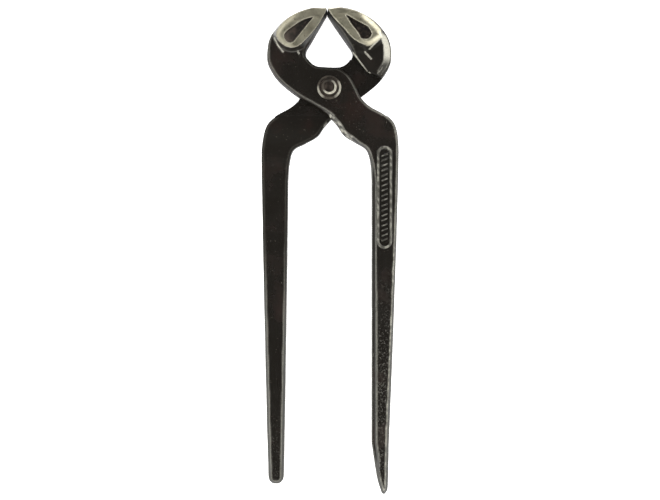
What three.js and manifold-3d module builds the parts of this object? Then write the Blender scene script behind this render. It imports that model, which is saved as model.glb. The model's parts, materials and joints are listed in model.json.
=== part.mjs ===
// Hoof nipper: a pair of forged pincers, two crossed halves turning on one rivet.
// Millimetres, +Z up. The tool lies flat with its jaws towards +Y. Every shape is drawn about
// the rivet's axis, and the whole group is then moved so that the origin is the middle of the
// surface that the tool lies on.
import * as THREE from "three";
import { mergeVertices } from "three/addons/utils/BufferGeometryUtils.js";
import Module from "manifold-3d";

// ---- driving dimensions ----
const JAW_TOP = 39.7; // from the rivet's axis to the top of the jaws
const CLAW_TIP = -208.3; // the tip of the claw handle
const PLAIN_TIP = -203; // the end of the plain handle
const SHOULDER_OUT = 35.5; // how far the wider shoulder reaches from the rivet's axis
const JAW_HALF_WIDTH = 12; // the jaws are this thick each side of the lap plane
const PLATE = 7; // the boss and the jaw arms, each side of the lap plane
const HANDLE_ROOT = 4.5; // half thickness of a handle under its shoulder
const HANDLE_END = 3.6; // half thickness of a handle at its end
const HANDLE_ROOT_WIDTH = 13.4;
const HANDLE_END_WIDTH = 7.2;
const HANDLE_SWELL = 1.25; // over 1, the handle stays wide for longer before it narrows
const GAP = 0.3; // running clearance wherever two pieces meet
const EDGE_BEVEL = 1.3; // bevel along the forged edges
const LAP_BOTTOM = -14; // the lap recess ends here, and the ramp down to the handle starts
const RAMP_END = -33;
const RIVET_RADIUS = 4;
const WASHER_RADIUS = 6.2;
const WASHER_THICKNESS = 1.3;
const CHEEK_SLOPE = 4; // height of the sloping side under the ground cheek
const CHEEK_SETBACK = 1.6; // how far that slope reaches in, seen from above
const RECESS_DEPTH = 2; // the teardrop recess in each cheek
const PANEL_HEIGHT = 0.5; // how far the grip panel's rim stands up
const CURVE_STEPS = 3; // segments between two points of an outline

// The two halves come from one forging. They differ in the reach of the cutting edge over the
// middle, the shoulder and the crotch under the boss, the lean of the handle, and its end.
const FRONT = {
  reach: -1,
  shoulder: [0, 0],
  crotch: [-0.2, -0.5],
  handleTop: 28.8,
  handleBottom: 25.7,
  recessEnd: [-20, 25.6],
  recessPoint: [-8.3, 35.3],
  claw: true,
};
const BACK = {
  reach: 1,
  shoulder: [-1.2, -0.4],
  crotch: [-1.8, -0.7],
  handleTop: 27.9,
  handleBottom: 27.3,
  recessEnd: [-18.5, 26.8],
  recessPoint: [-8.5, 36],
  claw: false,
};

const wasm = await Module();
wasm.setup();

// ---- helpers ----
function solid(geometry) {
  geometry.deleteAttribute("normal");
  geometry.deleteAttribute("uv");
  const merged = mergeVertices(geometry, 1e-4);
  const vertProperties = new Float32Array(merged.attributes.position.array);
  const triVerts = new Uint32Array(merged.index.array);
  return new wasm.Manifold(new wasm.Mesh({ numProp: 3, vertProperties, triVerts }));
}

function geometryOf(manifold) {
  const mesh = manifold.getMesh();
  const geometry = new THREE.BufferGeometry();
  geometry.setAttribute("position", new THREE.Float32BufferAttribute(mesh.vertProperties, 3));
  geometry.setIndex(new THREE.BufferAttribute(new Uint32Array(mesh.triVerts), 1));
  geometry.computeVertexNormals();
  return geometry;
}

const vectors = (points) => points.map(([x, y]) => new THREE.Vector2(x, y));

// A straight-sided prism of a shape, from one height to another, with optional edge bevels.
function prism(shape, bottom, top, bevelHeight = 0, bevelSize = 0) {
  return new THREE.ExtrudeGeometry(shape, {
    depth: top - bottom - 2 * bevelHeight,
    curveSegments: CURVE_STEPS,
    bevelEnabled: bevelHeight > 0,
    bevelThickness: bevelHeight,
    bevelSize,
    bevelOffset: -bevelSize,
    bevelSegments: 1,
  }).translate(0, 0, bottom + bevelHeight);
}

// The part of a solid between two heights along Y.
function between(manifold, low, high) {
  const size = 200;
  const box = new THREE.BoxGeometry(size, high - low, size).translate(0, (low + high) / 2, 0);
  return manifold.intersect(solid(box));
}

// ---- the forged outline of a half, seen from above: left jaw, boss, right handle ----
const OUTER_JAW = [
  [-7.4, 39.7], [-14.6, 37.8], [-20.7, 34.6], [-25.6, 30.5], [-29.2, 26], [-31.1, 20.9], [-31.5, 14.3],
  [-29.6, 9.3], [-25.6, 3.6], [-18.3, -2.6],
];
const UNDER_BOSS = [[-12.5, -6.3], [-6.8, -9.4]];
const CROTCH = [[-0.6, -13.2], [4.5, -18.6], [8.1, -23.7], [14.3, -27.4]];
const SHOULDER = [[35, -25], [33, -18], [28, -13.4], [20.7, -9.3], [16.3, -5]];
const OVER_BOSS = [[13.5, 0.8], [10.1, 6.4], [5, 10], [-1, 10.7], [-6.5, 11.2], [-10.3, 13.8]];
const MOUTH = [[-11.9, 17.2], [-10.7, 20.6], [-0.9, 34.9], [-0.15, 36.4], [-0.15, 37.8]];

// Where the middle of the handle and its two sides run, at a height y.
const taper = (y) => Math.max((RAMP_END - y) / (RAMP_END - CLAW_TIP), 0) ** HANDLE_SWELL;
const handleCentre = (half, y) => THREE.MathUtils.lerp(half.handleTop, half.handleBottom, taper(y));
const handleWidth = (y) => THREE.MathUtils.lerp(HANDLE_ROOT_WIDTH, HANDLE_END_WIDTH, taper(y));
const handleSide = (half, y, side) => handleCentre(half, y) + (side * handleWidth(y)) / 2;

// The mouth's edge, which reaches further over the middle on one half than on the other.
function mouthEdge(half) {
  const [low, high] = [MOUTH[0][1], MOUTH[2][1]];
  return MOUTH.map(([x, y]) => [x + half.reach * Math.min((y - low) / (high - low), 1), y]);
}

const jawTip = (half) => [half.reach - 0.9, JAW_TOP - 0.3];

const moved = (points, [dx, dy]) => points.map(([x, y]) => [x + dx, y + dy]);

function halfOutline(half, handleBottom) {
  const mouth = mouthEdge(half);
  const [neck, lower, low] = [RAMP_END - 15, -100, -150];
  const shape = new THREE.Shape();
  shape.moveTo(...jawTip(half));
  shape.splineThru(vectors([
    ...OUTER_JAW,
    ...UNDER_BOSS,
    ...moved(CROTCH, half.crotch),
    [handleSide(half, RAMP_END, -1) - 2.6, RAMP_END + 1.4],
    [handleSide(half, RAMP_END - 6, -1) - 0.5, RAMP_END - 6],
    [handleSide(half, neck, -1), neck],
  ]));
  lineThrough(shape, [lower, low].map((y) => [handleSide(half, y, -1), y]));
  plainEnd(shape, half, handleBottom);
  lineThrough(shape, [low, lower, neck].map((y) => [handleSide(half, y, 1), y]));
  shape.splineThru(vectors([
    [handleSide(half, RAMP_END, 1), RAMP_END],
    ...moved(SHOULDER, half.shoulder),
    ...OVER_BOSS,
    ...mouth.slice(0, 2),
  ]));
  lineThrough(shape, mouth.slice(2));
  shape.closePath();
  return shape;
}

function lineThrough(shape, points) {
  for (const [x, y] of points) {
    shape.lineTo(x, y);
  }
}

// The rounded end of a handle, from its inner side round to its outer side.
function plainEnd(shape, half, bottom) {
  const corner = 3;
  const [inner, outer] = [handleSide(half, bottom, -1), handleSide(half, bottom, 1)];
  shape.lineTo(inner, bottom + corner);
  shape.quadraticCurveTo(inner, bottom, inner + corner, bottom);
  shape.lineTo(outer - corner, bottom);
  shape.quadraticCurveTo(outer, bottom, outer, bottom + corner);
}

// ---- the height of the forging along its length ----
const ease = (t) => t * t * (3 - 2 * t);

function levels(y) {
  if (y > RAMP_END) {
    const t = ease((y - RAMP_END) / (LAP_BOTTOM - RAMP_END));
    return [-HANDLE_ROOT + (GAP / 2 + HANDLE_ROOT) * t, HANDLE_ROOT + (PLATE - HANDLE_ROOT) * t];
  }
  const thickness = HANDLE_ROOT + ((HANDLE_END - HANDLE_ROOT) * (RAMP_END - y)) / (RAMP_END - CLAW_TIP);
  return [-thickness, thickness];
}

// One length of the forging, its two faces sloping evenly from one station to the next.
function length(blank, low, high) {
  const geometry = geometryOf(between(blank, low, high));
  const position = geometry.attributes.position;
  const [lowBack, lowFront] = levels(low);
  const [highBack, highFront] = levels(high);
  for (let i = 0; i < position.count; i += 1) {
    const t = (position.getY(i) - low) / (high - low);
    const back = lowBack + (highBack - lowBack) * t;
    const front = lowFront + (highFront - lowFront) * t;
    const z = position.getZ(i) / HANDLE_ROOT;
    position.setZ(i, (back + front) / 2 + (z * (front - back)) / 2);
  }
  return solid(geometry);
}

// ---- the head ----
// The thick block at the end of the jaw, with its flat ground cheek on each side.
function jawBlock(half) {
  const shape = new THREE.Shape();
  shape.moveTo(...jawTip(half));
  shape.splineThru(vectors(OUTER_JAW.slice(0, 4)));
  lineThrough(shape, [[-29, 26.8], [-20.2, 18.9], [-12.8, 22.3], [-7.8 + half.reach / 2, 25.2]]);
  lineThrough(shape, mouthEdge(half).slice(2));
  shape.closePath();
  return solid(prism(shape, -JAW_HALF_WIDTH, JAW_HALF_WIDTH, CHEEK_SLOPE, CHEEK_SETBACK));
}

// A teardrop: a round end, and straight sides that meet in a point.
function teardrop([endX, endY], radius, [pointX, pointY]) {
  const towards = Math.atan2(pointY - endY, pointX - endX);
  const tangent = Math.acos(radius / Math.hypot(pointX - endX, pointY - endY));
  const shape = new THREE.Shape();
  shape.moveTo(pointX, pointY);
  shape.absarc(endX, endY, radius, towards + tangent, towards - tangent + 2 * Math.PI, false);
  shape.closePath();
  return shape;
}

function cheekRecesses(half) {
  const shape = teardrop(half.recessEnd, 3.6, half.recessPoint);
  const deep = JAW_HALF_WIDTH - RECESS_DEPTH;
  const front = solid(prism(shape, deep, JAW_HALF_WIDTH + 1));
  return front.add(solid(prism(shape, -JAW_HALF_WIDTH - 1, -deep)));
}

// The half's own back is cut away wherever the other half crosses it or swings over it.
function lapRecess() {
  const wall = [[-9, 20.9], [-11.9, 17.2], [-19.3, 8.2], [-25.7, 6], [-40, 4.5]];
  const shape = new THREE.Shape(vectors([...wall, [-40, LAP_BOTTOM - 1], [45, LAP_BOTTOM - 1], [45, 20.9]]));
  return solid(prism(shape, -PLATE - 1, GAP / 2));
}

// ---- the handle ----
// The claw: wedge shaped seen from above, and a forked blade seen from the side.
function clawEnd(half) {
  const top = -182;
  const inner = handleSide(half, top, -1);
  const outer = handleSide(half, top, 1);
  const plan = new THREE.Shape();
  plan.moveTo(outer, top);
  plan.lineTo(inner, top);
  plan.splineThru(vectors([[inner + 1.8, top - 12.3], [inner + 2.8, top - 18.5], [inner + 4.7, CLAW_TIP + 1.2]]));
  plan.lineTo(inner + 5.4, CLAW_TIP);
  plan.lineTo(inner + 6.4, CLAW_TIP);
  plan.splineThru(vectors([[outer - 0.9, CLAW_TIP + 1.6], [outer - 0.4, top - 21], [outer, top]]));
  const fork = 2.2;
  const root = levels(top)[1];
  const side = new THREE.Shape(vectors([
    [top, root], [top - 14, root + 0.4], [CLAW_TIP + 3, root + 1.1], [CLAW_TIP, root + 0.4],
    [CLAW_TIP, fork], [CLAW_TIP + 9, 0.4], [CLAW_TIP + 9, -0.4], [CLAW_TIP, -fork],
    [CLAW_TIP, -root - 0.4], [CLAW_TIP + 3, -root - 1.1], [top - 14, -root - 0.4], [top, -root],
  ]));
  const blade = prism(side, inner - 1, outer + 1);
  // The side view's own axes are Y along the tool and Z, drawn through the thickness along X.
  blade.applyMatrix4(new THREE.Matrix4().set(0, 0, 1, 0, 1, 0, 0, 0, 0, 1, 0, 0, 0, 0, 0, 1));
  return solid(prism(plan, -JAW_HALF_WIDTH, JAW_HALF_WIDTH)).intersect(solid(blade));
}

// A raised rim round a slot-shaped field, with a row of plain raised pips inside it.
function gripPanel(half) {
  const middle = -56;
  const rimLength = 53;
  const slot = (width, long) => {
    const [x, r] = [handleCentre(half, middle) - 0.2, width / 2];
    const shape = new THREE.Shape();
    shape.absarc(x, middle + long / 2 - r, r, 0, Math.PI, false);
    shape.absarc(x, middle - long / 2 + r, r, Math.PI, 2 * Math.PI, false);
    shape.closePath();
    return shape;
  };
  const top = levels(middle)[1];
  const rim = slot(8.2, rimLength);
  rim.holes.push(slot(4.8, rimLength - 3.4));
  let raised = solid(prism(rim, top - 1, top + PANEL_HEIGHT));
  const pips = 9;
  for (let i = 0; i < pips; i += 1) {
    const y = middle + ((i - (pips - 1) / 2) * (rimLength - 12)) / (pips - 1);
    const pip = new THREE.CylinderGeometry(0.7, 1.2, PANEL_HEIGHT + 1, 4).rotateX(Math.PI / 2);
    pip.translate(handleCentre(half, middle) - 0.2, y, top + (PANEL_HEIGHT - 1) / 2);
    raised = raised.add(solid(pip));
  }
  return raised;
}

// ---- a whole half, drawn as the front one: left jaw, right handle, lapping over at z > 0 ----
function forgedHalf(half) {
  const bottom = half.claw ? CLAW_TIP : PLAIN_TIP;
  const outline = halfOutline(half, bottom);
  const blank = solid(prism(outline, -HANDLE_ROOT, HANDLE_ROOT, EDGE_BEVEL, EDGE_BEVEL));
  const plate = geometryOf(between(blank, LAP_BOTTOM, JAW_TOP + 1)).scale(1, 1, PLATE / HANDLE_ROOT);
  let body = solid(plate).add(jawBlock(half)).subtract(lapRecess()).subtract(cheekRecesses(half));
  const handleBottom = half.claw ? -182 : bottom;
  const stations = [LAP_BOTTOM, -19, -23.5, -28, RAMP_END, handleBottom];
  for (let i = 1; i < stations.length; i += 1) {
    body = body.add(length(blank, stations[i], stations[i - 1]));
  }
  if (half.claw) {
    body = body.add(clawEnd(half)).add(gripPanel(half));
  }
  const bore = new THREE.CylinderGeometry(RIVET_RADIUS + GAP, RIVET_RADIUS + GAP, 40, 48);
  return body.subtract(solid(bore.rotateX(Math.PI / 2)));
}

// ---- the rivet and its washer, both turned about the pivot's axis ----
function turned(profile) {
  return new THREE.LatheGeometry(vectors(profile), 48).rotateX(Math.PI / 2);
}

function rivet() {
  const back = -PLATE - GAP; // under the forged button head
  const front = PLATE + WASHER_THICKNESS + 2 * GAP; // under the peened end
  return turned([
    [0, back - 3], [2.6, back - 3], [4.6, back - 2.6], [6.2, back - 1.6], [6.8, back], [RIVET_RADIUS, back],
    [RIVET_RADIUS, front], [4.8, front], [4.7, front + 0.9], [4.1, front + 1.7], [3, front + 2.2], [0, front + 2.2],
  ]);
}

function rivetWasher() {
  const [low, high] = [PLATE + GAP, PLATE + GAP + WASHER_THICKNESS];
  const bore = RIVET_RADIUS + GAP;
  return turned([
    [bore, low], [WASHER_RADIUS, low], [WASHER_RADIUS, high - 0.5], [WASHER_RADIUS - 0.5, high], [bore, high],
    [bore, low],
  ]);
}

// ---- assembly ----
const forgedBlack = () => new THREE.MeshStandardMaterial({ color: 0x26211c, roughness: 0.38, metalness: 0.7 });
const rivetSteel = () => new THREE.MeshStandardMaterial({ color: 0x6d6c64, roughness: 0.4, metalness: 0.85 });

const tool = new THREE.Group();
function piece(name, geometry, material) {
  const mesh = new THREE.Mesh(geometry, material);
  mesh.name = name;
  tool.add(mesh);
  return mesh;
}

piece("front_half", geometryOf(forgedHalf(FRONT)), forgedBlack());
// The back half is the same forging turned over about the tool's long axis.
piece("back_half", geometryOf(forgedHalf(BACK)), forgedBlack()).rotation.y = Math.PI;
piece("rivet", rivet(), rivetSteel());
piece("rivet_washer", rivetWasher(), rivetSteel());

const backShoulder = SHOULDER_OUT + BACK.shoulder[0];
tool.position.set(-(SHOULDER_OUT - backShoulder) / 2, -(JAW_TOP + CLAW_TIP) / 2, JAW_HALF_WIDTH);
export default tool;
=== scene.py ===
"""Hoof nipper: a pair of forged pincers, two crossed halves turning on one rivet.

Every shape is drawn in millimetres about the rivet's axis, in the frame of one blank: left jaw, boss,
right handle, lapping over the other half on its front. The back half is the same blank turned over
about the tool's long axis. Each half is a signed distance field, meshed as a surface net.
"""

import json
import math

import bmesh
import bpy
import numpy as np
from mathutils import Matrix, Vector


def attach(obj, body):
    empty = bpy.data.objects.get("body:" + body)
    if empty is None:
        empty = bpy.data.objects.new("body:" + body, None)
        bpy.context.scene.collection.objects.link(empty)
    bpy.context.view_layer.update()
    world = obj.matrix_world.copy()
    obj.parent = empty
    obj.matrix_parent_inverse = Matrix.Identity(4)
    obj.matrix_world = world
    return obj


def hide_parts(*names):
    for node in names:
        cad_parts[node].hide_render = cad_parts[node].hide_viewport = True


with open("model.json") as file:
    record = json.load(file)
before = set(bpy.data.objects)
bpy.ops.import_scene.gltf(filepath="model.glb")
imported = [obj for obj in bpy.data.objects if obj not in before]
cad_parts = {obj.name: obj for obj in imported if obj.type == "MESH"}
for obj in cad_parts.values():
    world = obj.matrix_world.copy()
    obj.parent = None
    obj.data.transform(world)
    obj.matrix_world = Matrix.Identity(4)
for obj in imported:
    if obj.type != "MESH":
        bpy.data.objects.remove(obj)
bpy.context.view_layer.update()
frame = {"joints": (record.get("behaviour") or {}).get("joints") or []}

MM = 0.001
PIVOT = np.array(frame["joints"][0]["pos_m"]) / MM

# ---- driving dimensions, in millimetres about the rivet's axis ----
JAW_TOP = 39.7
CLAW_TIP = -208.3
PLAIN_TIP = -203.0
JAW_HALF = 12.0  # half thickness of the jaws
PLATE = 7.0  # the boss and the jaw arms, each side of the lap plane
ROOT_HALF, END_HALF = 4.5, 3.6  # half thickness of a handle, at its root and at its end
ROOT_WIDTH, END_WIDTH = 13.4, 7.2  # width of a handle, at its root and at its end
SWELL = 1.25  # above 1, a handle keeps its width near the root and loses it near the end
LAP = 0.15  # half the running clearance between the laps
LAP_BOTTOM, RAMP_END = -14.0, -33.0  # between them a half passes from its lap into its handle
BORE = 4.3
CLAW_ROOT = -182.0
HANDLE_LENGTH = RAMP_END - CLAW_TIP
GRID = 0.5  # spacing of the surface net
MARGIN = 1.6  # how far the net goes past the outline

# What sets the two halves apart: how far the mouth's edge goes over the middle, small moves of the outline,
# the middle of the handle at its root and at its end, its end, and the seed of its unevenness.
FRONT = {
    "reach": -1.0, "shoulder": (0.0, 0.0), "crotch": (-0.2, -0.5), "handle": (28.8, 25.7), "claw": True,
    "seed": 3,
}
BACK = {
    "reach": 1.0, "shoulder": (-1.2, -0.4), "crotch": (-1.8, -0.7), "handle": (27.9, 27.3), "claw": False,
    "seed": 8,
}

OUTER_JAW = [
    (-7.4, 39.7), (-14.6, 37.8), (-20.7, 34.6), (-25.6, 30.5), (-29.2, 26), (-31.1, 20.9), (-31.5, 14.3),
    (-29.6, 9.3), (-25.6, 3.6), (-18.3, -2.6),
]
UNDER_BOSS = [(-12.5, -6.3), (-6.8, -9.4)]
CROTCH = [(-0.6, -13.2), (4.5, -18.6), (8.1, -23.7), (14.3, -27.4)]
SHOULDER = [(35, -25), (33, -18), (28, -13.4), (20.7, -9.3), (16.3, -5)]
OVER_BOSS = [(13.5, 0.8), (10.1, 6.4), (5, 10), (-1, 10.7), (-6.5, 11.2), (-10.3, 13.8)]
MOUTH_ROOT, MOUTH_LENGTH = 17.2, 17.7
MOUTH = [(-11.9, 17.2), (-10.9, 20.4), (-1.2, 36.4), (-0.2, 37.9), (0.4, 38.6)]

# The ground cheek and the teardrop recess in it, on each side of a jaw.
CHEEK_FRONT = [
    (-1.9, 40.2), (-8.6, 40.0), (-14.6, 38.2), (-20.0, 35.3), (-24.2, 31.6), (-26.7, 27.5), (-26.1, 24.5),
    (-24.3, 22.5), (-21.7, 20.8), (-18.8, 20.2), (-16.0, 20.8), (-14.2, 21.9), (-11.4, 24.6), (-7.6, 28.9),
    (-4.1, 33.7), (-1.7, 38.2),
]
CHEEK_BACK = [
    (0.3, 40.2), (-4.6, 40.4), (-11.0, 39.4), (-16.0, 37.4), (-21.0, 34.3), (-25.3, 30.2), (-26.9, 27.0),
    (-26.5, 25.4), (-23.1, 22.6), (-20.2, 21.2), (-17.2, 22.1), (-13.8, 23.6), (-10.9, 25.9), (-8.0, 29.4),
    (-4.1, 33.4), (-0.7, 37.4),
]
RECESS_FRONT = [
    (-8.1, 35.3), (-11, 34.8), (-14.3, 33.5), (-18.4, 30.8), (-21.4, 28.6), (-23.0, 26.4), (-22.6, 24.2),
    (-20.9, 22.5), (-18.4, 22.6), (-16.6, 24.6), (-14.9, 26.7), (-13.5, 28.5), (-10.8, 31.9),
]
RECESS_BACK = [
    (-8.4, 36.7), (-11.3, 35.2), (-14.1, 33.6), (-17.9, 31.6), (-19.9, 30.3), (-21.7, 27.2), (-20.6, 24.7),
    (-18.2, 24.1), (-16.2, 24.7), (-14.9, 27.2), (-11.5, 31.5), (-9.8, 34.3),
]
LAP_WALL = [(-9.3, 20.9), (-12.3, 17.2), (-19.7, 8.2), (-25.9, 5.8), (-40, 4.3)]
RECESS_DEPTH = 2.0
FLANK_EDGE = ((-17.85, 18.5), (-21.8, 14.2))  # where the arm's flat back turns down towards the mouth
FLANK_SLOPE, FLANK_WIDTH = 0.4, 4.6
CONTACT_BOTTOM = 28.0  # above this the cutting edges meet
CONTACT_GAP, CONTACT_LEAN = 0.05, 0.03  # they stop this far apart, on a plane that leans by this much

# The grip panel: its place along the handle and the handle's face there, the half length of its straight
# sides, the radius and half thickness of its rim, and the nine pairs of ribs inside it.
PANEL_MIDDLE, PANEL_TOP = -56.0, 4.36
PANEL_STRAIGHT, PANEL_RADIUS, RIM_HALF = 22.4, 3.25, 0.25
PAIR_PITCH, PAIRS_EACH_SIDE = 41 / 8, 4
RIB_LEAN, RIB_OFF, RIB_HALF, RIB_LENGTH = 0.4, 1.2, 0.45, 1.75

# Finer shapes of the forging.
BOSS_GROWTH, JAW_GROWTH = 0.4, 0.65  # the forged skin stands this far outside the outline's points
DRAFT, JAW_DRAFT = 0.09, 0.03  # slope of the sides
BEVEL_FRONT, BEVEL_BACK = 0.75, 0.9  # legs of the bevels at the boss
SKIN = 0.04  # how far the uneven flats lie below their planes
CHEEK_SLOPE, MOUTH_SLOPE = 2.6, 1.4  # how steeply the ground cheeks stand up from the arm
CROWN = {"front": 0.9, "back": 1.75}  # how far the cheeks are ground down towards their outer edge
CLAW_FLARE = ([182, 196, 205.3, 208.3], [0, 0.4, 1.1, 0.4])  # way down the handle, and thickness added
FORK = ([199.3, 208.3], [0.4, 2.2])  # way down the handle, and half width of the slot
SEAM_INSET, SEAM_WIDTH, SEAM_DEPTH = 1.35, 0.4, 0.28  # fine groove in the claw handle's inner bevel

# Brown places on the front of the claw half, each a point and its spread.
BROWN_PLACES = [((12.0, -9.0), 110), ((-22.6, 24.0), 9)]
# Edges painted with bright lines, on the front and on the back of a half: partly bare metal where the black
# has rubbed off, partly painted highlights.
BARE_AND_HIGHLIGHT_FRONT = [[(-28.0, 25.2), (-25.9, 21.1), (-23.5, 18.2)], [(-16.0, 18.5), (-15.4, 17.2)]]
BARE_AND_HIGHLIGHT_BACK = [
    [(-12.1, 18.3), (-19.4, 8.6)], [(-20.4, 7.9), (-20.9, 7.6)], [(-18.3, 18.1), (-21.6, 14.5)],
    [(-20.6, 19.6), (-26.6, 25.2)],
]


# ---- plane geometry ----
def spline(points, steps=5):
    """A Catmull-Rom curve through the points."""
    p = np.array(points, float)
    ends = np.vstack([p[:1], p, p[-1:]])
    t = np.linspace(0, 1, steps, endpoint=False)[:, None]
    runs = [
        b + 0.5 * t * ((c - a) + t * ((2 * a - 5 * b + 4 * c - d) + t * (3 * (b - c) + d - a)))
        for a, b, c, d in zip(ends, ends[1:], ends[2:], ends[3:])
    ]
    return np.vstack([*runs, p[-1:]])


def closed_spline(points, steps=4):
    """A closed Catmull-Rom curve through the points."""
    p = list(points)
    run = spline([p[-1], *p, p[0], p[1]], steps)
    return run[steps:-steps - 1]


def polygon_distance(x, y, polygon):
    """Signed distance to a closed polygon, negative inside."""
    best = np.full(x.shape, 1e9, np.float32)
    inside = np.zeros(x.shape, bool)
    for (ax, ay), (bx, by) in zip(polygon, np.roll(polygon, -1, 0)):
        ex, ey = bx - ax, by - ay
        if ex * ex + ey * ey < 1e-10:
            continue
        dx, dy = x - ax, y - ay
        t = np.clip((dx * ex + dy * ey) / (ex * ex + ey * ey), 0, 1)
        best = np.minimum(best, (dx - t * ex) ** 2 + (dy - t * ey) ** 2)
        if ey:
            inside ^= ((ay > y) != (by > y)) & (np.sign(ey) * (dx * ey - ex * dy) < 0)
    return np.where(inside, -1, 1) * np.sqrt(best)


def line_distance(x, y, start, end):
    """Signed distance to an endless line, positive on the right of its direction."""
    ux, uy = end[0] - start[0], end[1] - start[1]
    return ((x - start[0]) * uy - (y - start[1]) * ux) / math.hypot(ux, uy)


def path_distance(x, y, path):
    """Distance to a chain of straight pieces."""
    best = np.full(x.shape, 1e9)
    for (ax, ay), (bx, by) in zip(path, path[1:]):
        ex, ey = bx - ax, by - ay
        t = np.clip(((x - ax) * ex + (y - ay) * ey) / (ex * ex + ey * ey), 0, 1)
        best = np.minimum(best, np.hypot(x - ax - t * ex, y - ay - t * ey))
    return best


def ramp(value, low, high):
    """0 below low, 1 above high, and a smooth step in between."""
    t = np.clip((value - low) / (high - low), 0, 1)
    return t * t * (3 - 2 * t)


def smax(a, b, k):
    """The greater of two fields, with the corner between them rounded over about k."""
    return np.maximum(a, b) + np.maximum(k - np.abs(a - b), 0) ** 2 / (4 * k)


def smin(a, b, k):
    """The lesser of two fields, with the corner between them filled over about k."""
    return -smax(-a, -b, k)


def waves(x, y, z, seed, size, count=7):
    """Gentle unevenness between about -1 and 1, with features near the given size."""
    random = np.random.default_rng(seed)
    total = 0
    for _ in range(count):
        direction = random.normal(size=3)
        direction *= 2 * math.pi / (size * random.uniform(0.7, 1.6) * np.linalg.norm(direction))
        total = total + np.sin(direction[0] * x + direction[1] * y + direction[2] * z + random.uniform(0, 6.3))
    return total / count ** 0.5


# ---- the outline of a half ----
def taper(y):
    """From 0 at the root of a handle to 1 at the claw's tip."""
    return np.maximum((RAMP_END - y) / HANDLE_LENGTH, 0) ** SWELL


def handle_centre(half, y):
    """The middle line of a handle."""
    top, bottom = half["handle"]
    return top + (bottom - top) * taper(y)


def handle_side(half, y, side):
    """A side of a handle: -1 is the inner one, and 1 the outer one."""
    return handle_centre(half, y) + side * (ROOT_WIDTH + (END_WIDTH - ROOT_WIDTH) * taper(y)) / 2


def moved(points, by):
    """Points moved in plan."""
    return [(x + by[0], y + by[1]) for x, y in points]


def reached(half, points, drawn_for=0.0):
    """Points moved with the mouth's edge, which reaches over the middle on one half only."""
    by = half["reach"] - drawn_for
    return [(x + by * min(max((y - MOUTH_ROOT) / MOUTH_LENGTH, 0), 1), y) for x, y in points]


def outline(half):
    """The outline of a half in plan, counterclockwise from the jaw's tip."""
    mouth = reached(half, MOUTH)
    tip = (half["reach"] - 0.3, JAW_TOP + 0.7)

    def inner(y, by=0.0):
        return handle_side(half, y, -1) + by, y

    def outer(y):
        return handle_side(half, y, 1), y

    down = [tip, *OUTER_JAW, *UNDER_BOSS, *moved(CROTCH, half["crotch"])]
    down += [(inner(RAMP_END)[0] - 2.6, -31.6), inner(-39, -0.5), inner(-48)]
    up = [outer(RAMP_END), *moved(SHOULDER, half["shoulder"]), *OVER_BOSS, *mouth[:2]]
    root = CLAW_ROOT if half["claw"] else PLAIN_TIP
    near, far = inner(root)[0], outer(root)[0]
    if half["claw"]:
        end = [inner(CLAW_ROOT)]
        end += list(spline([(near + 1.8, -194.3), (near + 2.8, -200.5), (near + 4.7, -207.1)]))
        end += [(near + 5.4, CLAW_TIP), (near + 6.4, CLAW_TIP)]
        end += list(spline([(far - 0.9, -206.7), (far - 0.4, -203), (far, CLAW_ROOT)]))
    else:
        corner = [(near, -199.5), (near + 0.7, -201.7), (near + 2.4, PLAIN_TIP + 0.1), (near + 3.6, PLAIN_TIP)]
        end = list(spline(corner))
        end += list(spline([(far - 3.2, PLAIN_TIP), (far - 2.1, -202.8), (far - 0.6, -201.5), (far, -199.5)]))
    steps = np.linspace(-60, -175, 7)
    return np.array([
        *spline(down), *[inner(y) for y in steps], *end, *[outer(y) for y in steps[::-1]],
        outer(-48), *spline(up), *mouth[2:],
    ])


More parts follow.
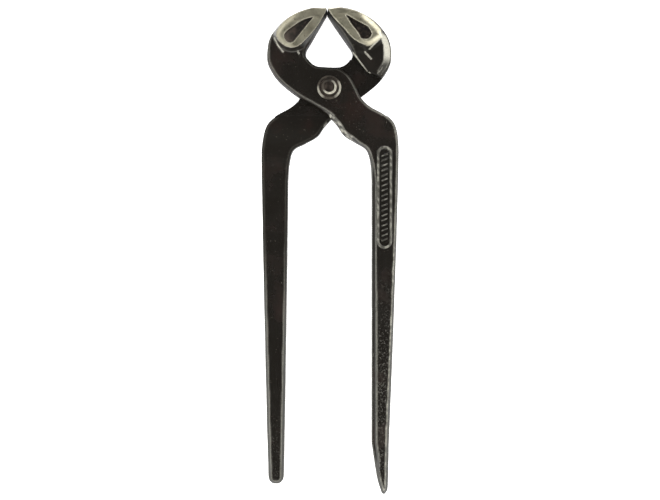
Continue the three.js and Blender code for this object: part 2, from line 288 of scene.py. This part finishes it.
# ---- the solid of a half ----
def plan_fields(half, x, y):
    """Everything about a half that depends only on the place in plan."""
    q = {"side": polygon_distance(x, y, half["outline"])}
    for name in ("cheek_front", "cheek_back", "recess_front", "recess_back", "lap"):
        polygon = half[name]
        near = y > polygon[:, 1].min() - 6
        q[name] = np.full(x.shape, 20.0, np.float32)
        q[name][near] = polygon_distance(x[near], y[near], polygon)
    mouth = half["mouth"]
    q["mouth"] = line_distance(x, y, mouth[1], mouth[2])
    outer = np.where(y > 15, ramp(-q["mouth"], 2, 8), 1)
    q["side"] = q["side"] - (BOSS_GROWTH + JAW_GROWTH * ramp(y, 10, 32)) * outer

    t = ramp(y, RAMP_END, LAP_BOTTOM - 1)
    thinned = ROOT_HALF + (END_HALF - ROOT_HALF) * (RAMP_END - y) / HANDLE_LENGTH
    handle = np.where(y > RAMP_END, ROOT_HALF, thinned)
    q["front"] = handle + (PLATE - ROOT_HALF) * t
    q["back"] = np.where(y > LAP_BOTTOM - 0.5, PLATE, handle - (LAP + ROOT_HALF) * t)
    flank = -line_distance(x, y, *FLANK_EDGE)
    q["back"] = q["back"] - np.where(y > 0, FLANK_SLOPE * np.clip(flank, 0, FLANK_WIDTH), 0)
    q["middle"] = np.where(y > LAP_BOTTOM, 0, (q["front"] - q["back"]) / 2)
    if half["claw"]:
        flare = np.interp(-y, *CLAW_FLARE)
        q["front"] = q["front"] + flare
        q["back"] = q["back"] + flare
    q["draft"] = DRAFT - (DRAFT - JAW_DRAFT) * ramp(y, 14, 26)

    inner_side = (x < handle_centre(half, y)) & (y < -30)
    crotch = 0.9 * ramp(-y, 8, 14) * ramp(y, -40, -26) * ramp(16 - x, 0, 4)
    inner_bevel = np.where(inner_side & half["claw"], ramp(-y, 30, 50), 0)
    q["edge_front"] = BEVEL_FRONT + 0.65 * ramp(-y, 20, 190) + crotch + inner_bevel - 0.65 * ramp(y, 22, 28)
    outer_chamfer = 2.5 * ramp(-x, 20, 24) * ramp(y, 4.5, 9) * ramp(-y, -31, -24)
    q["edge_back"] = BEVEL_BACK + 0.5 * ramp(-y, 40, 190) - 0.6 * ramp(y, 28, 33) + outer_chamfer
    along = ramp(-y, 36, 50) * ramp(y, -196, -184)
    q["seam"] = inner_side * along * np.exp(-((q["side"] + SEAM_INSET) / SEAM_WIDTH) ** 2)
    return q


def half_field(half, q, x, y, z):
    """Signed distance to the half's surface, and the parts of it that the paint goes by."""
    rough = waves(x, y, z, half["seed"], 11) * 0.05 + waves(x, y, z, 5, 4.5) * 0.018
    side = q["side"] + q["draft"] * np.abs(z - q["middle"]) - np.minimum(rough, 0) + 0.02
    mouth_side = ramp(q["mouth"], -8, -5)
    ground_waves = 0.04 * (1 + waves(x, y, z, 12, 7))
    faces = (("front", z), ("back", -z))

    flats = {}
    for face, up in faces:
        cheek = q["cheek_" + face]
        slope = CHEEK_SLOPE
        skin = rough * (cheek > 1) + SKIN
        if face == "back":
            slope = CHEEK_SLOPE - (CHEEK_SLOPE - MOUTH_SLOPE) * mouth_side
            skin = skin * (1 - ramp(y, RAMP_END, LAP_BOTTOM - 1) * (y < -5))
        crown = CROWN[face] * ramp(cheek, -3.6, 0.6) ** 1.6 * ramp(-x, 13, 21) + ground_waves
        wall = (up - JAW_HALF + slope * cheek) / np.sqrt(1 + slope ** 2)
        flats[face] = smin(up - q[face] + skin, smax(up - JAW_HALF + crown, wall, 0.2), 0.7)
    body = smax(smax(flats["front"], flats["back"], 0.2), side, 0.25)

    edges = {face: (side + flats[face] + q["edge_" + face]) / math.sqrt(2) for face, _ in faces}
    body = smax(body, np.maximum(edges["front"], edges["back"]), 0.2)
    contact = x - half["reach"] + CONTACT_GAP - CONTACT_LEAN * z
    body = smax(body, np.where(y > CONTACT_BOTTOM, contact, -9), 0.1)
    for face, up in faces:
        sides = q["recess_" + face] + 0.45 * (JAW_HALF - up)
        hollow = smax(sides, JAW_HALF - RECESS_DEPTH - up + rough * 3, 0.4)
        body = smax(body, -hollow, 0.3)
    wall_edge = (flats["back"] - q["lap"] + 0.5) / math.sqrt(2)
    body = smax(body, np.minimum(wall_edge, LAP - z), 0.1)
    body = smax(body, -smax(q["lap"], z - LAP, 0.1), 0.12)
    if half["claw"]:
        body = body + SEAM_DEPTH * q["seam"] * (z > 0)
    body = np.maximum(body, BORE - np.hypot(x, y))
    if half["claw"]:
        body = smax(body, -np.maximum(np.abs(z) - np.interp(-y, *FORK), y - CLAW_TIP - 9), 0.2)
        body = smin(body, panel_field(half, x, y, z), 0.15)
    return body, edges, flats


def panel_plan(half, x, y):
    """At a place on the grip panel: distance from its middle line, from its rim, and from its pair of ribs."""
    dx = x - (handle_centre(half, PANEL_MIDDLE) - 0.2)
    dy = y - PANEL_MIDDLE
    slot = np.hypot(dx, np.maximum(np.abs(dy) - PANEL_STRAIGHT, 0)) - PANEL_RADIUS
    pair = np.clip(np.round(dy / PAIR_PITCH), -PAIRS_EACH_SIDE, PAIRS_EACH_SIDE)
    return dx, slot, dy - pair * PAIR_PITCH - RIB_LEAN * dx


def panel_field(half, x, y, z):
    """The raised rim of the grip panel on the front of the claw handle, and the ribs inside it."""
    dx, slot, row = panel_plan(half, x, y)
    up = z - PANEL_TOP
    rim = np.hypot(np.maximum(np.abs(slot) - RIM_HALF, 0), np.maximum(up - 0.35, 0)) - 0.38
    across = np.abs(np.abs(row) - RIB_OFF) - RIB_HALF
    rib = np.maximum(np.abs(dx) - RIB_LENGTH, across) + 0.35 * up
    rib = smax(rib, up - 0.65, 0.15)
    return np.maximum(smin(rim, rib, 0.1), -1.2 - up)


# ---- from a field to a mesh ----
def surface_net(field, axes):
    """Vertices and outward quads of a field's zero surface on a regular grid."""
    inside = field < 0
    count = np.zeros([n - 1 for n in field.shape], np.uint8)
    corners = [(i, j, k) for i in (0, 1) for j in (0, 1) for k in (0, 1)]
    for corner in corners:
        count += inside[tuple(slice(o, n - 1 + o) for o, n in zip(corner, field.shape))]
    cells = np.argwhere((count > 0) & (count < 8))
    number = np.full(count.shape, -1, np.int32)
    number[tuple(cells.T)] = np.arange(len(cells))
    total, hits = np.zeros((len(cells), 3)), np.zeros(len(cells))
    for a in corners:
        for axis in range(3):
            if a[axis]:
                continue
            b = tuple(1 if i == axis else v for i, v in enumerate(a))
            fa, fb = (field[tuple((cells + c).T)] for c in (a, b))
            crossing = (fa < 0) != (fb < 0)
            t = np.where(crossing, fa / np.where(crossing, fa - fb, 1), 0)
            point = np.tile(np.array(a, float), (len(cells), 1))
            point[:, axis] = t
            total += point * crossing[:, None]
            hits += crossing
    step = np.array([a[1] - a[0] for a in axes])
    origin = np.array([a[0] for a in axes])
    verts = origin + step * (cells + total / hits[:, None])
    quads = []
    for axis in range(3):
        u, v = (axis + 1) % 3, (axis + 2) % 3
        low = [slice(None)] * 3
        high = [slice(None)] * 3
        low[axis], high[axis] = slice(0, -1), slice(1, None)
        first, second = inside[tuple(low)], inside[tuple(high)]
        at = np.argwhere(first != second)
        outward = first[tuple(at.T)]
        ring = []
        for du, dv in ((-1, -1), (0, -1), (0, 0), (-1, 0)):
            cell = at.copy()
            cell[:, u] += du
            cell[:, v] += dv
            ring.append(number[tuple(cell.T)])
        ring = np.stack(ring, 1)
        quads.append(np.where(outward[:, None], ring, ring[:, ::-1]))
    return verts, np.vstack(quads)


def gradient(half, p):
    """What the field and the plan say at the points, and the field's slope there."""
    h = 0.02
    x, y, z = p.T
    here = half_field(half, plan_fields(half, x, y), x, y, z)
    q = plan_fields(half, x, y)
    slopes = [
        half_field(half, plan_fields(half, x + h, y), x + h, y, z)[0] - here[0],
        half_field(half, plan_fields(half, x, y + h), x, y + h, z)[0] - here[0],
        half_field(half, q, x, y, z + h)[0] - here[0],
    ]
    return here, q, np.stack(slopes, 1) / h


def half_mesh(half):
    """Vertices, quads, normals and paint masks of a half, in the blank's own frame."""
    half["outline"] = outline(half)
    half["mouth"] = reached(half, MOUTH)
    half["cheek_front"] = closed_spline(reached(half, CHEEK_FRONT, -1.0))
    half["cheek_back"] = closed_spline(reached(half, CHEEK_BACK, 1.0))
    half["recess_front"] = closed_spline(RECESS_FRONT)
    half["recess_back"] = closed_spline(RECESS_BACK)
    floor = LAP_BOTTOM - 1
    half["lap"] = np.array([*LAP_WALL, (-40, floor), (45, floor), (45, 20.9)])
    low = half["outline"].min(0) - MARGIN
    high = half["outline"].max(0) + MARGIN
    axes = [
        np.arange(low[0], high[0], GRID),
        np.arange(low[1], high[1], GRID),
        np.arange(-JAW_HALF - 1.1, JAW_HALF + 1.1, GRID),
    ]
    gx, gy = np.meshgrid(axes[0], axes[1], indexing="ij")
    q = {k: v[..., None] for k, v in plan_fields(half, gx, gy).items()}
    field = half_field(half, q, gx[..., None], gy[..., None], axes[2][None, None, :])[0]
    verts, quads = surface_net(field.astype(np.float32), axes)
    for _ in range(3):
        here, q, slope = gradient(half, verts)
        step = here[0] / np.maximum((slope ** 2).sum(1), 0.3)
        verts = verts - slope * np.clip(step, -0.25, 0.25)[:, None]
    here, q, slope = gradient(half, verts)
    normals = slope / np.maximum(np.linalg.norm(slope, axis=1), 1e-6)[:, None]
    return verts, quads, normals, paint_masks(half, q, here, verts, normals)


def paint_masks(half, q, here, verts, normals):
    """The two sets of four masks, each from 0 to 1: see Paint."""
    x, y, z = verts.T
    claw = half["claw"]
    side = q["side"]
    front = z > 0
    level = np.abs(normals[:, 2])
    recess = np.where(front, q["recess_front"], q["recess_back"])
    cheek = np.where(front, q["cheek_front"], q["cheek_back"])
    high = ramp(np.abs(z), 9.9, 10.3) * ramp(level, 0.5, 0.75)
    ground = high * ramp(-cheek, -0.5, 0.1) * ramp(recess, -0.4, 0.3)
    floor = ramp(-recess, -0.2, 0.5) * ramp(np.abs(z), 9, 9.6)

    # The bevels, the line where they meet the flats, and the two wide ones.
    _, edges, flats = here
    bevel, crease = 0, 0
    for face in ("front", "back"):
        bevel = np.maximum(bevel, ramp(-np.abs(edges[face]), -0.2, -0.06))
        both = np.abs(edges[face]) + np.abs(flats[face])
        crease = np.maximum(crease, ramp(-both, -0.36, -0.14))
    wide_back = bevel * ramp(q["edge_back"], 1.7, 2.9) * ~front
    wide_front = bevel * ramp(q["edge_front"], 1.35, 1.75) * front * ramp(y, -40, -30)
    chamfer = wide_back * ramp(-side, 0.5, 1.1) * (0.05 + 0.95 * ramp(y, 11.5, 17.5)) * (0.25 if claw else 0.7)

    # Where the black has gone, and bright lines along edges and creases that are partly painted highlights.
    flakes = ramp(waves(x, y, z, 31, 2.6, 12), -0.5, 0.9)
    # Bright lines along the listed edges: partly worn bare metal, partly painted highlight.
    bare_and_highlight_paths = np.where(
        front,
        np.minimum.reduce([path_distance(x, y, p) for p in BARE_AND_HIGHLIGHT_FRONT]),
        np.minimum.reduce([path_distance(x, y, p) for p in BARE_AND_HIGHLIGHT_BACK]),
    )
    gloss_and_highlight = edge_gloss_and_highlight(half, x, y)
    chips = flakes * ramp(-y, 60, 90) * (x > handle_centre(half, y)) if claw else 0 * x
    # Along every crease a bright bare-metal line, stronger by place: partly wear, partly painted highlight.
    bare_and_highlight = np.maximum(
        (0.28 + 0.4 * chips) * crease * gloss_and_highlight,
        0.85 * ramp(-bare_and_highlight_paths, -0.42, -0.12) * ramp(np.abs(z), 2, 3),
    )
    bare_and_highlight = np.maximum(bare_and_highlight, 0.55 * wide_front * flakes)
    streaks = ramp(np.sin(3.6 * side + 2.5 * flakes), 0.6, 0.95) * ramp(-y, -18, -14)
    bare_and_highlight = np.maximum(bare_and_highlight, (0 if claw else 0.3) * streaks * wide_back)
    bare_and_highlight = bare_and_highlight * (1 - ramp(np.abs(z), 10.5, 11.2))
    brown = 0 * x
    if claw:
        raised = ramp(z, PANEL_TOP + 0.3, PANEL_TOP + 0.6) * ramp(-panel_plan(half, x, y)[1], -0.9, -0.7)
        bare_and_highlight = np.maximum(bare_and_highlight, (0.1 + 0.3 * flakes) * raised)
        for (at_x, at_y), spread in BROWN_PLACES:
            brown = brown + np.exp(-((x - at_x) ** 2 + (y - at_y) ** 2) / spread) * front
    pits = ramp(-y, 80, 150) * (1.0 if claw else 0.35 * ramp(-y, 150, 185))
    pits = pits * (0.1 + 0.9 * ramp(level, 0.85, 0.97))

    # Matte scale: dull bevels, walls, the rim outside the chamfer, the arm, the shoulder and the seam.
    matte = np.maximum.reduce([
        bevel * (1 - gloss_and_highlight),
        ramp(-level, -0.42, -0.2) * (0.65 + 0.35 * ramp(y, -60, -20)),
        wide_back * ramp(side, -0.9, -0.4),
        0.75 * ~front * ramp(y, 2, 8) * (1 - ground) * (1 - wide_back),
        0.8 * (normals[:, 2] < 0) * ramp(-y, 12, 15) * ramp(y, -42, -34),
        np.minimum(1.5 * q["seam"], 1) * front if claw else 0 * x,
        0.8 * wide_back * ramp(-y, -17, -11),
    ])
    return np.stack([ground, floor, chamfer, 0 * x + 1], 1), np.stack([bare_and_highlight, pits, matte, brown], 1)


def edge_gloss_and_highlight(half, x, y):
    """How much the bevels shine, from 0 to 1, from place to place along the outline. It also scales the bright
    line painted along the creases, partly a painted highlight.
    """
    if not half["claw"]:
        return np.where(y > LAP_BOTTOM, 0.3, 0.1 + 0.65 * ramp(-y, 72, 128))
    outer_arm = ramp(-x - y * 0.6, 2, 8)
    boss_side = 0.28 * ramp(x, 6, 11)
    head = 0.1 + np.maximum(0.34 * outer_arm, boss_side)
    return head + (0.82 - head) * ramp(-y, 6, 16)


def paint_layers(mesh, masks):
    """Puts the sets of masks on the mesh, where the materials read them."""
    for name, values in zip(("masks", "marks"), masks):
        attribute = mesh.color_attributes.new(name, "FLOAT_COLOR", "POINT")
        attribute.data.foreach_set("color", values.astype(np.float32).ravel())


def build(name, verts, quads, normals, masks, turned_over):
    """A mesh object in world metres. Turning over swaps left and right, and front and back."""
    if turned_over:
        verts, normals = verts * (-1, 1, -1), normals * (-1, 1, -1)
    mesh = bpy.data.meshes.new(name)
    mesh.from_pydata(((verts + PIVOT) * MM).tolist(), [], quads.tolist())
    mesh.polygons.foreach_set("use_smooth", [True] * len(quads))
    paint_layers(mesh, masks)
    mesh.validate()
    mesh.normals_split_custom_set_from_vertices(normals.tolist())
    mesh.update()
    shape = bpy.data.objects.new(name, mesh)
    bpy.context.collection.objects.link(shape)
    return shape


# ---- the rivet and its washer ----
LATHE_SIDES = 96


def lathe(name, profile, wobble, seed, rim, painted_highlights):
    """A turned piece with slightly uneven, hammered sections.

    rim gives the radii between which it is bright, and painted_highlights the directions, widths and strengths
    of the highlight arcs painted on that rim.
    """
    run = spline(profile, 4)
    angle = np.arange(LATHE_SIDES) * 2 * math.pi / LATHE_SIDES
    random = np.random.default_rng(seed)
    uneven = sum(
        random.uniform(0.3, 1) / n * np.sin(n * angle + random.uniform(0, 6.3)) for n in (1, 2, 3, 4, 6, 9)
    )
    # Painted highlights: arcs at fixed directions round the piece, where its rim is painted bright.
    highlight_arcs = sum(
        strength * ramp(np.cos(angle - math.radians(at)), math.cos(math.radians(wide)), 1)
        for at, wide, strength in painted_highlights
    )
    verts, masks = [], []
    for r, z in run:
        loose = wobble * ramp(r, 0.5, 2.5) * ramp(abs(z), 7.2, 8.2)
        radius = r * (1 - loose * (1 + uneven) / 2)
        height = z - loose * uneven * 0.5 * np.sign(z)
        verts.append(np.stack([radius * np.cos(angle), radius * np.sin(angle), height], 1))
        # Painted highlight: the rim's light steel colour comes almost only from the fixed arcs.
        bright = ramp(r, *rim[0]) * ramp(-r, *rim[1]) * np.clip(0.03 + highlight_arcs, 0, 1) * (z > 0)
        masks.append(np.stack([bright, 0 * bright, 0 * bright, 0 * bright + 1], 1))
    verts, masks = np.vstack(verts), np.vstack(masks)
    quads = []
    for i in range(0, LATHE_SIDES * (len(run) - 1), LATHE_SIDES):
        for j in range(LATHE_SIDES):
            k = (j + 1) % LATHE_SIDES
            quads.append([i + j, i + k, i + LATHE_SIDES + k, i + LATHE_SIDES + j])
    mesh = bpy.data.meshes.new(name)
    mesh.from_pydata(((verts + PIVOT) * MM).tolist(), [], quads)
    paint_layers(mesh, [masks])
    shape = bpy.data.objects.new(name, mesh)
    bpy.context.collection.objects.link(shape)
    weld(shape)
    return shape


def weld(shape):
    """Merges the points of a turned piece that meet on its axis or round its section."""
    work = bmesh.new()
    work.from_mesh(shape.data)
    bmesh.ops.remove_doubles(work, verts=work.verts, dist=1e-7)
    bmesh.ops.recalc_face_normals(work, faces=work.faces)
    for face in work.faces:
        face.smooth = True
    work.to_mesh(shape.data)
    work.free()


# ---- materials ----
class Paint:
    """A node material put together a node at a time.

    masks: on a half the ground steel, the recess floors and the chamfer, and on the rivet its bright rim with
    its painted highlight arcs.
    marks: on a half the bare edges and the highlights painted along edges, the pitting, the matte scale and
    the brown places.
    """

    def __init__(self, name):
        self.material = bpy.data.materials.new(name)
        self.material.use_nodes = True
        self.tree = self.material.node_tree
        self.shader = self.tree.nodes["Principled BSDF"]
        self.coords = self.tree.nodes.new("ShaderNodeTexCoord").outputs["Object"]
        self.masks = self.layer("masks")
        self.marks = self.layer("marks")

    def layer(self, name):
        """The four channels of a set of masks."""
        node = self.tree.nodes.new("ShaderNodeAttribute")
        node.attribute_name = name
        split = self.tree.nodes.new("ShaderNodeSeparateColor")
        self.tree.links.new(node.outputs["Color"], split.inputs["Color"])
        return [*split.outputs, node.outputs["Alpha"]]

    def put(self, socket, value):
        """Links a socket to another, or sets its value."""
        if isinstance(value, bpy.types.NodeSocket):
            self.tree.links.new(value, socket)
        else:
            socket.default_value = value

    def math(self, operation, a, b):
        node = self.tree.nodes.new("ShaderNodeMath")
        node.operation = operation
        self.put(node.inputs[0], a)
        self.put(node.inputs[1], b)
        return node.outputs[0]

    def both(self, a, b):
        """Where a and b are both high."""
        return self.math("MULTIPLY", a, b)

    def either(self, a, b):
        """Where a or b is high."""
        return self.math("MAXIMUM", a, b)

    def noise(self, scale, detail=4.0, roughness=0.55, stretch=(1, 1, 1)):
        place = self.tree.nodes.new("ShaderNodeMapping")
        self.put(place.inputs["Vector"], self.coords)
        place.inputs["Scale"].default_value = stretch
        node = self.tree.nodes.new("ShaderNodeTexNoise")
        self.put(node.inputs["Vector"], place.outputs[0])
        node.inputs["Scale"].default_value = scale
        node.inputs["Detail"].default_value = detail
        node.inputs["Roughness"].default_value = roughness
        return node.outputs["Fac"]

    def between(self, value, low, high, to_low=0.0, to_high=1.0):
        """A smooth step from to_low to to_high as the value goes from low to high."""
        node = self.tree.nodes.new("ShaderNodeMapRange")
        node.interpolation_type = "SMOOTHSTEP"
        self.put(node.inputs["Value"], value)
        for name, v in zip(("From Min", "From Max", "To Min", "To Max"), (low, high, to_low, to_high)):
            node.inputs[name].default_value = v
        return node.outputs[0]

    def mix(self, amount, a, b):
        """A colour or a number between a and b."""
        node = self.tree.nodes.new("ShaderNodeMix")
        colour = any(isinstance(v, tuple) or getattr(v, "type", "") == "RGBA" for v in (a, b))
        node.data_type = "RGBA" if colour else "FLOAT"
        kind = "RGBA" if colour else "VALUE"
        sockets = [s for s in node.inputs if s.type == kind and s.name in ("A", "B")]
        self.put(node.inputs["Factor"], amount)
        for socket, value in zip(sockets, (a, b)):
            self.put(socket, (*value, 1.0) if isinstance(value, tuple) else value)
        return next(s for s in node.outputs if s.type == kind)

    def bump(self, height, strength, distance, normal=None):
        node = self.tree.nodes.new("ShaderNodeBump")
        node.inputs["Strength"].default_value = strength
        node.inputs["Distance"].default_value = distance
        self.put(node.inputs["Height"], height)
        if normal is not None:
            self.put(node.inputs["Normal"], normal)
        return node.outputs[0]

    def finish(self, colour, roughness, metallic, normal, **more):
        self.put(self.shader.inputs["Base Color"], colour)
        self.put(self.shader.inputs["Roughness"], roughness)
        self.put(self.shader.inputs["Metallic"], metallic)
        self.put(self.shader.inputs["Normal"], normal)
        for name, value in more.items():
            self.shader.inputs[name.replace("_", " ")].default_value = value
        return self.material


BLACK, WARM_BLACK, DUST = (0.0074, 0.0062, 0.005), (0.0125, 0.0074, 0.006), (0.10, 0.09, 0.075)
STEEL, DULL_STEEL, DIRT = (0.80, 0.76, 0.63), (0.58, 0.54, 0.43), (0.22, 0.19, 0.14)
SCALE, RUST, BROWN_RUST = (0.012, 0.010, 0.009), (0.045, 0.034, 0.027), (0.085, 0.066, 0.052)
BARE_METAL = (0.66, 0.64, 0.56)


def forged_paint():
    """Black forged steel under a thin glossy lacquer, with ground cheeks and worn edges, and bright lines
    partly painted as highlights along edges.
    """
    p = Paint("forged_black")
    ground, floor, chamfer = p.masks[:3]
    bare_and_highlight, pits, matte, brown = p.marks
    blotch = p.noise(60, 3)
    clumps = p.noise(170, 3)
    grain = p.noise(1500, 4, 0.65)
    lines = p.noise(900, 3, 0.5, (0.25, 1, 1))

    warm = p.either(p.between(blotch, 0.5, 0.75), p.both(brown, p.between(clumps, 0.35, 0.6)))
    black = p.mix(warm, BLACK, WARM_BLACK)
    black = p.mix(p.between(p.noise(1100, 2), 0.69, 0.74, 0, 0.6), black, DUST)
    # Bright bare-metal lines: worn edges, and highlights painted along edges and creases.
    line = p.both(bare_and_highlight, p.between(grain, 0.35, 0.6, 0.5, 1.0))
    wide = p.both(chamfer, p.between(grain, 0.3, 0.65, 0.7, 1.0))
    pit = p.both(pits, p.between(p.noise(1150, 3, 0.6), 0.5, 0.6))
    glint = p.both(p.both(pit, p.between(p.noise(1250, 3, 0.6), 0.45, 0.6)), 0.13)
    bright = p.either(p.either(line, wide), glint)
    steel = p.mix(p.between(p.noise(130, 4), 0.3, 0.7), STEEL, DULL_STEEL)
    steel = p.mix(p.between(p.noise(420, 5, 0.7), 0.55, 0.7, 0, 0.65), steel, DIRT)
    rust = p.mix(p.between(p.noise(300, 5, 0.7), 0.42, 0.62), SCALE, RUST)
    rust = p.mix(brown, rust, BROWN_RUST)
    colour = p.mix(bright, black, BARE_METAL)
    colour = p.mix(ground, p.mix(floor, colour, rust), steel)

    metal = p.either(p.either(ground, p.both(floor, 0.3)), p.both(bright, 0.4))
    lacquer = p.between(blotch, 0.3, 0.7, 0.2, 0.3)
    rough = p.mix(p.either(ground, floor), lacquer, p.between(lines, 0.3, 0.7, 0.42, 0.54))
    rough = p.mix(matte, rough, p.between(blotch, 0.3, 0.7, 0.45, 0.55))
    p.put(p.shader.inputs["Specular IOR Level"], p.between(matte, 0, 1, 0.5, 0.05))
    bumps = p.bump(grain, 0.16, 0.0002)
    bumps = p.bump(p.noise(420, 4, 0.6), 0.2, 0.0004, bumps)
    bumps = p.bump(p.both(lines, ground), 0.3, 0.0002, bumps)
    bumps = p.bump(pit, 0.12, 0.0002, bumps)
    return p.finish(colour, rough, metal, bumps, IOR=1.65)


def rivet_paint():
    """Hammered steel, darkened, with a bright rim where it was peened, lit up in fixed arcs that are painted
    highlights.
    """
    p = Paint("rivet_steel")
    rim = p.masks[0]
    grain = p.noise(900, 4, 0.6)
    dark = p.mix(p.between(p.noise(350, 4), 0.35, 0.65), (0.010, 0.008, 0.007), (0.035, 0.028, 0.023))
    light = p.mix(p.between(grain, 0.35, 0.65), (0.42, 0.40, 0.34), (0.66, 0.63, 0.54))
    # rim carries the painted highlight arcs of the rivet and the washer.
    colour = p.mix(rim, dark, light)
    rough = p.between(grain, 0.3, 0.7, 0.28, 0.45)
    p.put(p.shader.inputs["Specular IOR Level"], p.between(rim, 0, 0.6, 0.04, 0.5))
    return p.finish(colour, rough, p.mix(rim, 0.0, 0.6), p.bump(grain, 0.3, 0.0003))


def floor_paint():
    """Pale paper that glows a little, so that it shows as white as the tent round it."""
    p = Paint("white_paper")
    tone = p.mix(p.noise(6, 2), (0.86, 0.86, 0.86), (0.88, 0.88, 0.88))
    p.put(p.shader.inputs["Emission Color"], tone)
    return p.finish(tone, 0.75, 0.0, p.bump(p.noise(900, 2), 0.05, 0.0001), Emission_Strength=0.9)


# ---- the pieces ----
forged, steel = forged_paint(), rivet_paint()

for half, node, turned_over in ((FRONT, "front_half", False), (BACK, "back_half", True)):
    shape = build(node + "_forging", *half_mesh(half), turned_over)
    shape.data.materials.append(forged)
    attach(shape, node)
    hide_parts(node)

RIVET = [
    (0, -10.2), (2.6, -10.2), (4.6, -9.8), (6.1, -8.8), (6.7, -7.5), (6.5, -7.35), (4.2, -7.35), (3.98, -7.1),
    (3.98, 0), (3.98, 8.7), (4.05, 9.1), (4.55, 9.2), (4.5, 9.8), (4.1, 10.5), (3.6, 10.9), (3.1, 10.95),
    (2.7, 10.7), (2.3, 10.55), (0, 10.5),
]
WASHER = [
    (4.35, 7.4), (6.0, 7.4), (6.15, 7.55), (6.12, 7.8), (5.6, 8.25), (5.0, 8.5), (4.6, 8.55), (4.4, 8.45),
    (4.35, 8.2), (4.35, 7.4),
]
# Painted highlights on the rims of the rivet and the washer: direction, width and strength of each arc.
RIVET_PAINTED_HIGHLIGHTS = [(-60, 105, 1.0), (30, 50, 0.3)]
WASHER_PAINTED_HIGHLIGHTS = [(-12, 58, 0.5), (207, 42, 0.42)]
rivet = lathe("peened_rivet", RIVET, 0.05, 4, ((2.7, 3.0), (-4.0, -3.7)), RIVET_PAINTED_HIGHLIGHTS)
washer = lathe("rivet_washer_ring", WASHER, 0.03, 9, ((4.9, 5.4), (-7, -6.4)), WASHER_PAINTED_HIGHLIGHTS)
for shape, node in ((rivet, "rivet"), (washer, "rivet_washer")):
    shape.data.materials.append(steel)
    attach(shape, "back_half")
    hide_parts(node)


# ---- floor, light and camera ----
def make_floor():
    steps, size, drop = 24, 2.4, 0.0002
    line = np.linspace(-size, size, steps)
    verts = [(x, y, -drop) for x in line for y in line]
    quads = [
        (i * steps + j, (i + 1) * steps + j, (i + 1) * steps + j + 1, i * steps + j + 1)
        for i in range(steps - 1)
        for j in range(steps - 1)
    ]
    mesh = bpy.data.meshes.new("floor")
    mesh.from_pydata(verts, [], quads)
    mesh.materials.append(floor_paint())
    shape = bpy.data.objects.new("floor", mesh)
    bpy.context.collection.objects.link(shape)


def make_world():
    """A light tent: white all round, and darker overhead where the camera looks in."""
    world = bpy.data.worlds.new("light_tent")
    bpy.context.scene.world = world
    world.use_nodes = True
    tree = world.node_tree
    coords = tree.nodes.new("ShaderNodeTexCoord")
    split = tree.nodes.new("ShaderNodeSeparateXYZ")
    stops = tree.nodes.new("ShaderNodeValToRGB")
    tree.links.new(coords.outputs["Generated"], split.inputs[0])
    tree.links.new(split.outputs["Z"], stops.inputs[0])
    levels = [(0.0, 1.0), (0.38, 1.0), (0.57, 0.4), (0.74, 0.06), (1.0, 0.015)]
    elements = stops.color_ramp.elements
    while len(elements) < len(levels):
        elements.new(0.5)
    for element, (place, level) in zip(elements, levels):
        element.position = place
        element.color = (level, level, level * 0.92, 1)
    background = tree.nodes["Background"]
    tree.links.new(stops.outputs[0], background.inputs["Color"])
    background.inputs["Strength"].default_value = 2.2


def area_light(name, place, size, power, glossy):
    """A soft round light that looks at the origin."""
    data = bpy.data.lights.new(name, "AREA")
    data.shape, data.size, data.energy = "DISK", size, power
    lamp = bpy.data.objects.new(name, data)
    lamp.location = place
    lamp.rotation_euler = (-Vector(place)).to_track_quat("-Z", "Y").to_euler()
    lamp.visible_glossy = glossy
    bpy.context.collection.objects.link(lamp)


def make_camera():
    """Straight above the tool. Its picture is so wide at the plane between the laps."""
    distance, width, sensor = 0.8, 0.3402, 36
    data = bpy.data.cameras.new("camera")
    data.lens = sensor * distance / width
    data.clip_start, data.clip_end = 0.01, 20
    camera = bpy.data.objects.new("camera", data)
    camera.location = (-0.0002, 0.0013, distance + PIVOT[2] * MM)
    bpy.context.collection.objects.link(camera)
    bpy.context.scene.camera = camera


make_floor()
make_world()
area_light("overhead", (0.0, 0.0, 1.6), 1.6, 30, False)
make_camera()
bpy.context.scene.view_settings.view_transform = "Standard"
